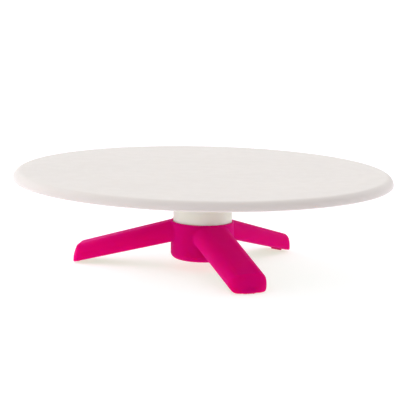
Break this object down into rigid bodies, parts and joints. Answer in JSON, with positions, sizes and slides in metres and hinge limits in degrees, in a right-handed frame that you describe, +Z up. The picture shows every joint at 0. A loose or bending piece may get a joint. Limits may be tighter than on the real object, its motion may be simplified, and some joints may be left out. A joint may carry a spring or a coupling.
{
  "type": "cake turntable",
  "caption": "Cake turntable: round white plastic plate with a rounded rim on a short neck, spinning on a low magenta three-legged base.",
  "frame": {"origin": "on the table, under the spin axis, at the height of the foot pads' undersides", "axes": "+Z up along the spin axis, out of the plate's top face; the front leg points along -Y and the other two lie 30 and 150 degrees from +X"},
  "size_m": [0.312, 0.312, 0.081],
  "materials": {
    "magenta_plastic": "satin moulded",
    "pearl_plastic": "satin moulded",
    "cream_plastic": "satin moulded",
    "foot_rubber": "matte",
    "zinc_steel": "zinc plated",
    "race_steel": "pressed and hardened",
    "ball_steel": "polished",
    "acetal": "natural",
    "nylon": "natural"
  },
  "bodies": {
    "base": {"tripod_base": "magenta_plastic", "hub_cap": "magenta_plastic", "foot_pad_front": "foot_rubber", "foot_pad_right": "foot_rubber", "foot_pad_left": "foot_rubber", "spindle_bolt": "zinc_steel", "head_washer": "zinc_steel", "lower_race": "race_steel", "top_washer": "zinc_steel", "disc_spring": "race_steel", "lock_nut": "zinc_steel", "nut_nylon_ring": "nylon"},
    "cage": {"ball_cage": "acetal", "bearing_balls": "ball_steel"},
    "turntable": {"plate": "pearl_plastic", "neck": "cream_plastic", "neck_screws": "zinc_steel", "upper_race": "race_steel", "lower_bush": "acetal", "upper_bush": "acetal"}
  },
  "joints": [
    {"name": "plate_spin", "type": "hinge", "parent": "base", "child": "turntable", "pos_m": [0, 0, 0.0255], "axis": [0, 0, 1], "continuous": true},
    {"name": "cage_spin", "type": "hinge", "parent": "base", "child": "cage", "pos_m": [0, 0, 0.0255], "axis": [0, 0, 1], "continuous": true}
  ],
  "couplings": [
    {"joint": "cage_spin", "follows": "plate_spin", "ratio": 0.5}
  ]
}
